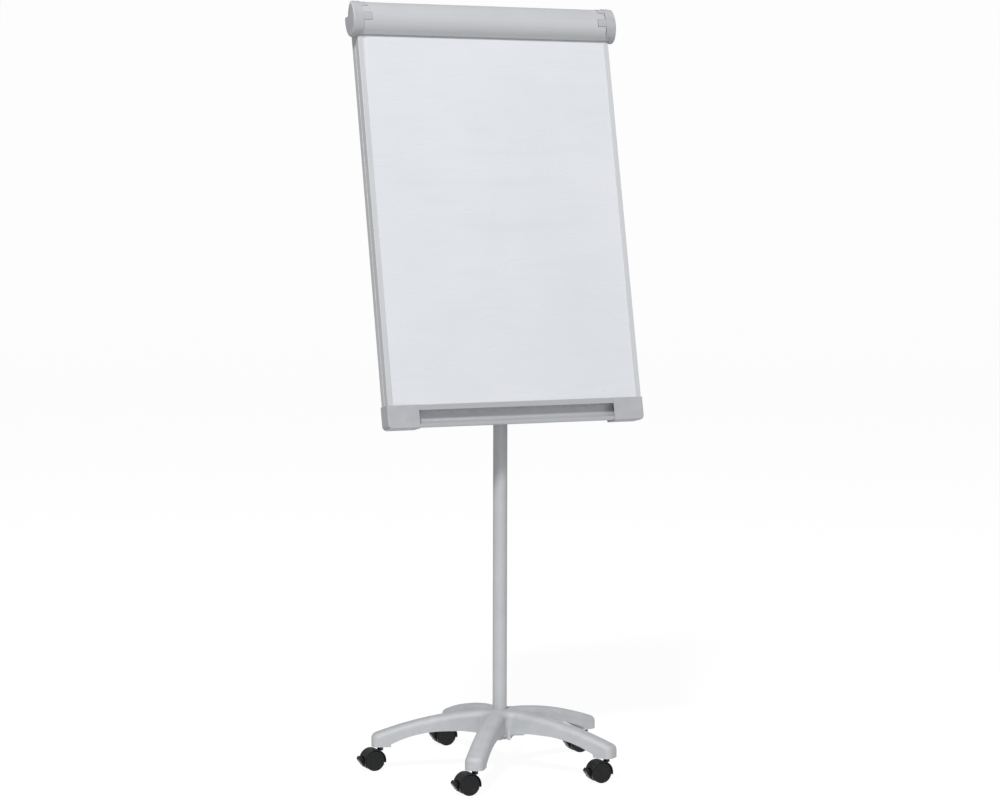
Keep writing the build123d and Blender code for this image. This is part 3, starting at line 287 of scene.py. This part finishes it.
def blasted_die_casting():
    """Die-cast aluminium head: bead-blasted to a dull grey with pits about 0.5 mm across."""
    material, tree, shader, mm = start_material("blasted_die_casting", metallic=1.0)
    cloud = add(tree, "ShaderNodeTexNoise", {"Vector": mm, "Scale": 1 / 14, "Detail": 4.0})
    body = two_tone(tree, cloud.outputs["Fac"], "#999B9E", "#A7A9AB")
    rub = worn_edge(tree, mm, 0.7)
    tree.links.new(wear_and_shade_tint(tree, rub, body, "#C9CACB"), shader.inputs["Base Color"])
    tree.links.new(between(tree, cloud.outputs["Fac"], 0.50, 0.62), shader.inputs["Roughness"])
    pits = add(tree, "ShaderNodeTexNoise", {"Vector": mm, "Scale": 1 / 0.5, "Detail": 3.0})
    bumped(tree, shader, pits.outputs["Fac"], 0.05)
    return material


def drawn_spring_wire():
    """Hard-drawn spring steel with an oil-dark skin and draw marks about 0.3 mm apart."""
    material, tree, shader, mm = start_material("drawn_spring_wire", metallic=1.0)
    marks = add(tree, "ShaderNodeTexNoise", {"Vector": mm, "Scale": 1 / 0.3, "Detail": 3.0})
    tree.links.new(two_tone(tree, marks.outputs["Fac"], "#77787A", "#96979A"), shader.inputs["Base Color"])
    tree.links.new(between(tree, marks.outputs["Fac"], 0.26, 0.42), shader.inputs["Roughness"])
    bumped(tree, shader, marks.outputs["Fac"], 0.004)
    return material


def natural_acetal():
    """Turned acetal washers and plugs: waxy off-white with turning rings 0.4 mm apart."""
    material, tree, shader, mm = start_material("natural_acetal", ior=1.48)
    shader.inputs["Subsurface Weight"].default_value = 0.12
    shader.inputs["Subsurface Radius"].default_value = (0.002, 0.002, 0.0016)
    cloud = add(tree, "ShaderNodeTexNoise", {"Vector": mm, "Scale": 1 / 11, "Detail": 3.0})
    tree.links.new(two_tone(tree, cloud.outputs["Fac"], "#DEDCD3", "#E9E7DF"), shader.inputs["Base Color"])
    tree.links.new(between(tree, cloud.outputs["Fac"], 0.34, 0.46), shader.inputs["Roughness"])
    rings = {"Vector": mm, "Scale": 1 / 0.4, "Distortion": 0.6}
    turned = add(tree, "ShaderNodeTexWave", rings, bands_direction="Z")
    bumped(tree, shader, turned.outputs["Fac"], 0.004)
    return material


def extruded_rubber():
    """EPDM grip strip: dull charcoal with a talc bloom in patches 20 mm long and a fine pore."""
    material, tree, shader, mm = start_material("extruded_rubber", ior=1.52)
    run = stretched(tree, mm, (1 / 20, 1 / 3, 1 / 3))
    bloom = add(tree, "ShaderNodeTexNoise", {"Vector": run, "Scale": 1.0, "Detail": 4.0})
    body = two_tone(tree, bloom.outputs["Fac"], "#232425", "#3A3B3C", 0.4, 0.75)
    tree.links.new(body, shader.inputs["Base Color"])
    tree.links.new(between(tree, bloom.outputs["Fac"], 0.66, 0.84), shader.inputs["Roughness"])
    pores = add(tree, "ShaderNodeTexNoise", {"Vector": mm, "Scale": 1 / 0.6, "Detail": 2.0})
    bumped(tree, shader, pores.outputs["Fac"], 0.03)
    return material


def honeycomb_board():
    """Paper honeycomb core seen at its cut edge: brown kraft, in cells about 9 mm across, each cell painted
    darker towards its middle as painted shade for the depth of the open cell.
    """
    material, tree, shader, mm = start_material("honeycomb_board", ior=1.46)
    grid = {"Vector": mm, "Scale": 1 / 9}
    cells = add(tree, "ShaderNodeTexVoronoi", grid, feature="DISTANCE_TO_EDGE")
    fibre = add(tree, "ShaderNodeTexNoise", {"Vector": mm, "Scale": 1 / 1.5, "Detail": 5.0})
    kraft = two_tone(tree, fibre.outputs["Fac"], "#9C7A50", "#B6946A")
    # painted shade: darker brown towards the middle of each cell, away from its walls
    cell_middle_shade = between(tree, cells.outputs["Distance"], 0.0, 0.8, 0.02, 0.25)
    tree.links.new(wear_and_shade_tint(tree, cell_middle_shade, kraft, "#5E472C"), shader.inputs["Base Color"])
    tree.links.new(between(tree, fibre.outputs["Fac"], 0.78, 0.92), shader.inputs["Roughness"])
    bumped(tree, shader, cells.outputs["Distance"], 0.5)
    return material


def seam_shadow():
    """Painted shade: a mottled dark grey that stands for the shadow in the narrow gap round a moulding's
    tongue.
    """
    material, tree, shader, mm = start_material("seam_shadow", ior=1.45)
    # painted shade, mottled at random between two dark greys
    shade_mottle = add(tree, "ShaderNodeTexNoise", {"Vector": mm, "Scale": 1 / 3, "Detail": 3.0})
    tree.links.new(two_tone(tree, shade_mottle.outputs["Fac"], "#2E3033", "#45474A"), shader.inputs["Base Color"])
    tree.links.new(between(tree, shade_mottle.outputs["Fac"], 0.7, 0.9), shader.inputs["Roughness"])
    return material


enamel = vitreous_enamel()
back_paint = coil_coated_steel()
lengthwise = (0, pi / 2, 0)
bar_lacquer = lacquered_aluminium("lacquered_bar_profile", "#C9CBCE", "#D0D2D5", lengthwise)
tray_lacquer = lacquered_aluminium("lacquered_tray_profile", "#B7B9BC", "#BEC0C3", lengthwise)
upright = (-board_lean, 0, 0)
frame_lacquer = lacquered_aluminium("lacquered_frame_profile", "#D1D3D6", "#D8DADD", upright)
powder_coat = powder_coated_steel()
base_plastic = moulded_grey("moulded_polyamide_grey", "#B3B5B8", "#BABCBF", 0.52)
cap_plastic = moulded_grey("moulded_abs_grey", "#ACAEB2", "#B3B5B8", 0.42)
hood_plastic = black_polyamide("black_nylon_hood", "#090A0B", "#0D0E0F", 0.24, 0.5, 1.48)
wheel_plastic = black_polyamide("black_nylon_wheel", "#121315", "#151618", 0.5, 0.4, 1.38)
knob_plastic = black_polyamide("black_knob_moulding", "#18191A", "#202122", 0.44, 1.1)
zinc = zinc_plated_steel()
chrome = satin_chrome()
casting = blasted_die_casting()
spring_wire = drawn_spring_wire()
acetal = natural_acetal()
rubber = extruded_rubber()
honeycomb = honeycomb_board()
# painted shade for the gaps round the bar caps' tongues
gap_shade = seam_shadow()


# ------------------------------------------------------------------ mesh helpers


def new_piece(name, mesh, material):
    """An object at the origin that shows a mesh, with one material."""
    mesh.name = name
    piece = bpy.data.objects.new(name, mesh)
    bpy.context.scene.collection.objects.link(piece)
    if material:
        mesh.materials.clear()
        mesh.materials.append(material)
    return piece


def settle(piece):
    """Turns a piece's live modifiers into plain mesh."""
    evaluated = piece.evaluated_get(bpy.context.evaluated_depsgraph_get())
    mesh = bpy.data.meshes.new_from_object(evaluated)
    piece.modifiers.clear()
    piece.data = mesh
    return piece


def mark_edges(mesh, from_angle=radians(24)):
    """Gives the mesh an attribute, edge, that is 1 on its outward-turning edges and roundings."""
    bm = bmesh.new()
    bm.from_mesh(mesh)
    turning = [e for e in bm.edges if e.is_manifold and e.calc_face_angle_signed(0) > from_angle]
    on_edge = {v.index for e in turning for v in e.verts}
    bm.free()
    attribute = mesh.attributes.new("edge", "FLOAT", "POINT")
    attribute.data.foreach_set("value", [float(i in on_edge) for i in range(len(mesh.vertices))])


def welded_copy(node):
    """A CAD node's mesh as one clean surface: points joined, flat faces whole."""
    bm = bmesh.new()
    bm.from_mesh(frame["nodes"][node].data)
    bmesh.ops.remove_doubles(bm, verts=bm.verts, dist=0.002 * MM)
    bmesh.ops.dissolve_limit(bm, angle_limit=radians(0.3), verts=bm.verts, edges=bm.edges)
    mesh = bpy.data.meshes.new(node)
    bm.to_mesh(mesh)
    bm.free()
    return mesh


def finished(node, material, edge_mm=0.4, smooth_under=34):
    """Shows a CAD node as a smooth piece with its sharp edges broken, as a real edge is."""
    piece = new_piece(node + "_finished", welded_copy(node), material)
    piece.data.shade_smooth()
    if edge_mm:
        rounding = piece.modifiers.new("rounding", "BEVEL")
        rounding.width = edge_mm * MM
        rounding.segments = 2
        rounding.limit_method = "ANGLE"
        rounding.angle_limit = radians(smooth_under)
        rounding.use_clamp_overlap = True
        settle(piece)
    mark_edges(piece.data)
    piece.data.set_sharp_from_angle(angle=radians(smooth_under + 12))
    weighted = piece.modifiers.new("flat_faces", "WEIGHTED_NORMAL")
    weighted.keep_sharp = True
    settle(piece)
    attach(piece, frame["nodes"][node]["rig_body"])
    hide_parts(node)
    return piece


def paint(node, material):
    """Gives a CAD node that keeps its own mesh its material."""
    mesh = frame["nodes"][node].data
    mesh.materials.clear()
    mesh.materials.append(material)


# ------------------------------------------------------------------ carried-over parts

finished("star_base", base_plastic, 0.6)
finished("column_outer_tube", powder_coat, 0.3)
finished("height_clamp_collar", knob_plastic, 0.5)
finished("height_knob", knob_plastic, 0.5)
finished("column_inner_tube", chrome, 0.2)
finished("tilt_head", casting, 0.6)
finished("tilt_bracket", powder_coat, 0.4)
finished("tilt_knob", knob_plastic, 0.5)
finished("tilt_bolt", zinc, 0.5)
finished("height_stud", zinc, 0.4)
finished("base_bolt", zinc, 0.5)
finished("side_frame_left", frame_lacquer, 0.35)
finished("side_frame_right", frame_lacquer, 0.35)
finished("pen_tray", tray_lacquer, 0.3)
finished("top_rail", tray_lacquer, 0.3)
finished("clamp_bar", bar_lacquer, 0.3)
finished("corner_cap_left", cap_plastic, 0.6)
finished("corner_cap_right", cap_plastic, 0.6)
finished("bar_cap_left", cap_plastic, 0.35)
finished("bar_cap_right", cap_plastic, 0.35)
finished("bar_cheeks", cap_plastic, 0.6)
finished("paper_hook_left", knob_plastic, 0.3)
finished("paper_hook_right", knob_plastic, 0.3)
finished("bar_hinge_pins", zinc, 0.4)
finished("caster_stems", zinc, 0.3)
paint("writing_sheet", enamel)
paint("rear_sheet", back_paint)
paint("core_panel", honeycomb)
paint("column_foot_plug", acetal)
paint("column_guide_bush", knob_plastic)
paint("inner_tube_slider", acetal)
paint("tilt_friction_washers", acetal)
paint("grip_strip", rubber)
for number in range(1, 6):
    finished(f"caster_{number}_housing", hood_plastic, 0.3)
    finished(f"caster_{number}_wheel_front", wheel_plastic, 0.0)
    finished(f"caster_{number}_wheel_rear", wheel_plastic, 0.0)
    finished(f"caster_{number}_brake_lever", hood_plastic, 0.4)
    paint(f"caster_{number}_axle", zinc)


# ------------------------------------------------------------------ repeated small parts


def start_tree(name, numbers):
    """A geometry node tree with its inputs: a base, named numbers in metres, and a material."""
    tree = bpy.data.node_groups.new(name, "GeometryNodeTree")
    tree.interface.new_socket("Base", in_out="INPUT", socket_type="NodeSocketGeometry")
    for label in numbers:
        tree.interface.new_socket(label, in_out="INPUT", socket_type="NodeSocketFloat")
    tree.interface.new_socket("Facing", in_out="INPUT", socket_type="NodeSocketVector")
    tree.interface.new_socket("Material", in_out="INPUT", socket_type="NodeSocketMaterial")
    tree.interface.new_socket("Geometry", in_out="OUTPUT", socket_type="NodeSocketGeometry")
    return tree, add(tree, "NodeGroupInput").outputs


def end_tree(tree, given, geometry):
    """Makes the instances real, gives them the material and closes the tree."""
    real = add(tree, "GeometryNodeRealizeInstances", {"Geometry": geometry})
    inputs = {"Geometry": real.outputs[0], "Material": given["Material"]}
    coated = add(tree, "GeometryNodeSetMaterial", inputs)
    add(tree, "NodeGroupOutput", {"Geometry": coated.outputs[0]})
    return tree


def spring_tree():
    """A coil spring on every base point, wound along the instance's own Z."""
    tree, given = start_tree("coil_spring", ["Coil radius", "Wire radius", "Length", "Turns"])
    inputs = {
        "Resolution": 26,
        "Rotations": given["Turns"],
        "Start Radius": given["Coil radius"],
        "End Radius": given["Coil radius"],
        "Height": given["Length"],
    }
    coil = add(tree, "GeometryNodeCurveSpiral", inputs)
    wire = add(tree, "GeometryNodeCurvePrimitiveCircle", {"Resolution": 10, "Radius": given["Wire radius"]})
    inputs = {"Curve": coil.outputs[0], "Profile Curve": wire.outputs[0], "Fill Caps": True}
    wound = add(tree, "GeometryNodeCurveToMesh", inputs)
    inputs = {"Points": given["Base"], "Instance": wound.outputs[0], "Rotation": given["Facing"]}
    placed = add(tree, "GeometryNodeInstanceOnPoints", inputs)
    return end_tree(tree, given, placed.outputs[0])


def screw_tree():
    """A pan-head screw on every base point, its head along the instance's own Z, each one
    driven home at its own turn."""
    numbers = ["Head radius", "Crown radius", "Head height", "Shank radius", "Shank length"]
    tree, given = start_tree("pan_head_screw", numbers + ["Recess length", "Recess width", "Recess depth"])
    half = add(tree, "ShaderNodeMath", {0: given["Shank length"], 1: -0.5}, operation="MULTIPLY")
    down = add(tree, "ShaderNodeCombineXYZ", {"Z": half.outputs[0]})
    top = add(tree, "ShaderNodeCombineXYZ", {"Z": given["Head height"]})
    inputs = {
        "Vertices": 40,
        "Radius Top": given["Crown radius"],
        "Radius Bottom": given["Head radius"],
        "Depth": given["Head height"],
    }
    head = add(tree, "GeometryNodeMeshCone", inputs)
    cuts = []
    deep = add(tree, "ShaderNodeMath", {0: given["Recess depth"], 1: 2.0}, operation="MULTIPLY")
    for x, y in (("Recess length", "Recess width"), ("Recess width", "Recess length")):
        size = add(tree, "ShaderNodeCombineXYZ", {"X": given[x], "Y": given[y], "Z": deep.outputs[0]})
        bar = add(tree, "GeometryNodeMeshCube", {"Size": size.outputs[0]})
        inputs = {"Geometry": bar.outputs[0], "Translation": top.outputs[0]}
        cuts.append(add(tree, "GeometryNodeTransform", inputs).outputs[0])
    recess = add(tree, "GeometryNodeMeshBoolean", {"Mesh 2": cuts[0]}, operation="DIFFERENCE")
    tree.links.new(head.outputs[0], recess.inputs["Mesh 1"])
    tree.links.new(cuts[1], recess.inputs["Mesh 2"])
    inputs = {"Vertices": 24, "Radius": given["Shank radius"], "Depth": given["Shank length"]}
    shank = add(tree, "GeometryNodeMeshCylinder", inputs)
    inputs = {"Geometry": shank.outputs[0], "Translation": down.outputs[0]}
    shank = add(tree, "GeometryNodeTransform", inputs)
    whole = add(tree, "GeometryNodeJoinGeometry", {"Geometry": recess.outputs[0]})
    tree.links.new(shank.outputs[0], whole.inputs["Geometry"])
    inputs = {"Points": given["Base"], "Instance": whole.outputs[0], "Rotation": given["Facing"]}
    placed = add(tree, "GeometryNodeInstanceOnPoints", inputs)
    spin = add(tree, "FunctionNodeRandomValue", {"Seed": 11}, data_type="FLOAT")
    spin.inputs[3].default_value = pi / 2
    turn = add(tree, "ShaderNodeCombineXYZ", {"Z": spin.outputs[1]})
    inputs = {"Instances": placed.outputs[0], "Rotation": turn.outputs[0], "Local Space": True}
    driven = add(tree, "GeometryNodeRotateInstances", inputs)
    return end_tree(tree, given, driven.outputs[0])


def shade_cord_tree():
    """A thin round line laid along the base's edges."""
    tree, given = start_tree("painted_gap_shade_line", ["Half width"])
    path = add(tree, "GeometryNodeMeshToCurve", {"Mesh": given["Base"]})
    cord = add(tree, "GeometryNodeCurvePrimitiveCircle", {"Resolution": 8, "Radius": given["Half width"]})
    inputs = {"Curve": path.outputs[0], "Profile Curve": cord.outputs[0], "Fill Caps": True}
    return end_tree(tree, given, add(tree, "GeometryNodeCurveToMesh", inputs).outputs[0])


def grown(name, tree, points, edges, values, material):
    """Runs a node tree on a base of points and edges, and keeps the plain mesh it makes."""
    base = bpy.data.meshes.new(name)
    base.from_pydata(points, edges, [])
    piece = new_piece(name, base, None)
    modifier = piece.modifiers.new("grown", "NODES")
    modifier.node_group = tree
    values = dict(values, Material=material)
    for socket in tree.interface.items_tree:
        if socket.in_out == "INPUT" and socket.name in values:
            modifier[socket.identifier] = values[socket.name]
    settle(piece)
    piece.data.set_sharp_from_angle(angle=radians(40))
    return piece


# Places on the board, in millimetres: the tilt axis is 1100 above the floor.
tilt_axis_up = 199.3
tilt_axis_behind = 51.8
hinge_up = 966.0
hinge_out = -14.0
spring_inner_end = 316.6
spring_length = 8.8
panel_back = -17.5
bracket_sheet = 2.5
bracket_screw_x = 48
bracket_screw_up = 46
rail_wall = 2.0
rail_screw_up = 900
rail_screw_reach = 280
rail_screw_pitch = 140


def on_board(x, up, out):
    """A place given across, up and out of the writing face, in millimetres."""
    tilt_axis = Vector((0, 0, 1100))
    foot = tilt_axis - up_board * tilt_axis_up + out_of_board * tilt_axis_behind
    return (foot + Vector((x, 0, 0)) + up_board * up + out_of_board * out) * MM


spring_ends = (spring_inner_end, -spring_inner_end - spring_length)
spring_starts = [on_board(x, hinge_up, hinge_out) for x in spring_ends]
spring_values = {
    "Coil radius": 4.9 * MM,
    "Wire radius": 0.65 * MM,
    "Length": spring_length * MM,
    "Turns": 5.5,
    "Facing": (0, pi / 2, 0),
}
springs = grown("wound_springs", spring_tree(), spring_starts, [], spring_values, spring_wire)
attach(springs, frame["nodes"]["bar_springs"]["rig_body"])
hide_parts("bar_springs")

screw_seats = [
    on_board(x, tilt_axis_up + up, panel_back - bracket_sheet)
    for x in (-bracket_screw_x, bracket_screw_x)
    for up in (-bracket_screw_up, bracket_screw_up)
]
rail_spots = range(-rail_screw_reach, rail_screw_reach + 1, rail_screw_pitch)
screw_seats += [on_board(x, rail_screw_up, panel_back - rail_wall) for x in rail_spots]
screw_values = {
    "Head radius": 5 * MM,
    "Crown radius": 3.9 * MM,
    "Head height": 3 * MM,
    "Shank radius": 2.5 * MM,
    "Shank length": 13 * MM,
    "Recess length": 4.8 * MM,
    "Recess width": 1.0 * MM,
    "Recess depth": 1.7 * MM,
    "Facing": (-out_of_board).to_track_quat("Z", "Y").to_euler()[:],
}
screws = grown("crossed_screws", screw_tree(), screw_seats, [], screw_values, zinc)
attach(screws, frame["nodes"]["board_screws"]["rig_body"])
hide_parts("board_screws")


bar_centre_up = 942
bar_centre_out = -4.5
bar_half_height = 42
bar_half_depth = 26
seam_proud = 0.2


def seam_path(side):
    """The outline of an end cap's tongues on the bar's oval front, as close-set points."""
    collar, middle_tip, top_tip = 331.7, 309, 316
    corners = [(collar, 913), (collar, 935), (middle_tip, 935), (middle_tip, 953)]
    corners += [(collar, 953), (collar, 971), (top_tip, 971), (top_tip, 982)]
    steps = 12
    points = []
    for (x0, up0), (x1, up1) in zip(corners, corners[1:]):
        for i in range(steps):
            x = x0 + (x1 - x0) * i / steps
            up = up0 + (up1 - up0) * i / steps
            share = (up - bar_centre_up) / bar_half_height
            out = bar_centre_out + bar_half_depth * sqrt(1 - share**2)
            points.append(on_board(side * x, up, out + seam_proud))
    return points


# Painted shade: a dark cord 0.2 mm proud of the bar along each cap's tongue outline, standing for the
# shadow in the gap round the tongues.
shade_cord_nodes = shade_cord_tree()
for side, node in ((-1, "bar_cap_left"), (1, "bar_cap_right")):
    points = seam_path(side)
    edges = [(i, i + 1) for i in range(len(points) - 1)]
    painted_shade_cord = grown(node + "_seam", shade_cord_nodes, points, edges, {"Half width": 0.55 * MM}, gap_shade)
    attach(painted_shade_cord, frame["nodes"][node]["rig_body"])


# ------------------------------------------------------------------ stage, light and camera


def studio_white(albedo, glow):
    """Matt white studio paper, bright enough to be nearly shadowless."""
    material = bpy.data.materials.new("studio_paper")
    material.use_nodes = True
    shader = material.node_tree.nodes["Principled BSDF"]
    shader.inputs["Base Color"].default_value = (albedo, albedo, albedo, 1)
    shader.inputs["Roughness"].default_value = 1.0
    shader.inputs["Specular IOR Level"].default_value = 0.0
    shader.inputs["Emission Color"].default_value = (1, 1, 1, 1)
    shader.inputs["Emission Strength"].default_value = glow
    return material


def lamp(name, azimuth, elevation, distance, size, power, aim=Vector((0, 0, 1.0))):
    """A square soft light that looks at the object from a direction round it."""
    a, e = radians(azimuth), radians(elevation)
    back = Vector((sin(a) * cos(e), -cos(a) * cos(e), sin(e)))
    data = bpy.data.lights.new(name, "AREA")
    data.shape = "SQUARE"
    data.size = size
    data.energy = power
    light = bpy.data.objects.new(name, data)
    light.location = aim + back * distance
    light.rotation_euler = (-back).to_track_quat("-Z", "Y").to_euler()
    bpy.context.scene.collection.objects.link(light)
    return light


def build_stage():
    """A round white bowl: flat floor, a quarter-round sweep and a wall all the way round."""
    floor_r, sweep_r, wall_top, around, steps = 13.0, 3.0, 16.0, 96, 12
    profile = [(floor_r * i / 4, 0.0) for i in range(1, 5)]
    for i in range(1, steps + 1):
        turn = pi / 2 * i / steps
        profile.append((floor_r + sweep_r * sin(turn), sweep_r * (1 - cos(turn))))
    profile.append((floor_r + sweep_r, wall_top))
    turns = [tau * j / around for j in range(around)]
    points = [(r * cos(turn), r * sin(turn), z) for r, z in profile for turn in turns]
    faces = [tuple(range(around))]
    for ring in range(len(profile) - 1):
        low = ring * around
        high = low + around
        for j in range(around):
            k = (j + 1) % around
            faces.append((low + j, high + j, high + k, low + k))
    mesh = bpy.data.meshes.new("studio_bowl")
    mesh.from_pydata(points, [], faces)
    mesh.shade_smooth()
    bowl = new_piece("studio_bowl", mesh, studio_white(0.12, 0.93))
    bowl.visible_diffuse = False
    bowl.visible_glossy = False
    bowl.visible_shadow = False
    world = bpy.data.worlds.new("white_studio")
    bpy.context.scene.world = world
    world.use_nodes = True
    surround = world.node_tree.nodes["Background"]
    surround.inputs["Color"].default_value = (1.0, 1.0, 1.0, 1.0)
    surround.inputs["Strength"].default_value = 0.33
    lamp("key_light", -39.6, 50.0, 8.5, 1.3, 572.0)
    lamp("front_fill", -20.0, -6.0, 7.0, 4.0, 64.0)
    lamp("floor_bounce", 0.0, -90.0, 1.03, 3.0, 14.0)
    lamp("fill_light", 48.0, 24.0, 4.6, 3.0, 17.0)


def build_camera():
    """Long lens from the left, at chest height, turned to the right and a little down."""
    data = bpy.data.cameras.new("camera")
    data.lens = 92.4
    data.sensor_width = 36.0
    data.shift_x = 0.10
    data.shift_y = -0.04
    data.clip_end = 60
    camera = bpy.data.objects.new("camera", data)
    camera.location = (-2.810, -5.622, 1.400)
    camera.rotation_euler = (radians(90 - 3.556), 0, radians(-24.311))
    bpy.context.scene.collection.objects.link(camera)
    bpy.context.scene.camera = camera
    bpy.context.scene.view_settings.view_transform = "Standard"


build_stage()
build_camera()
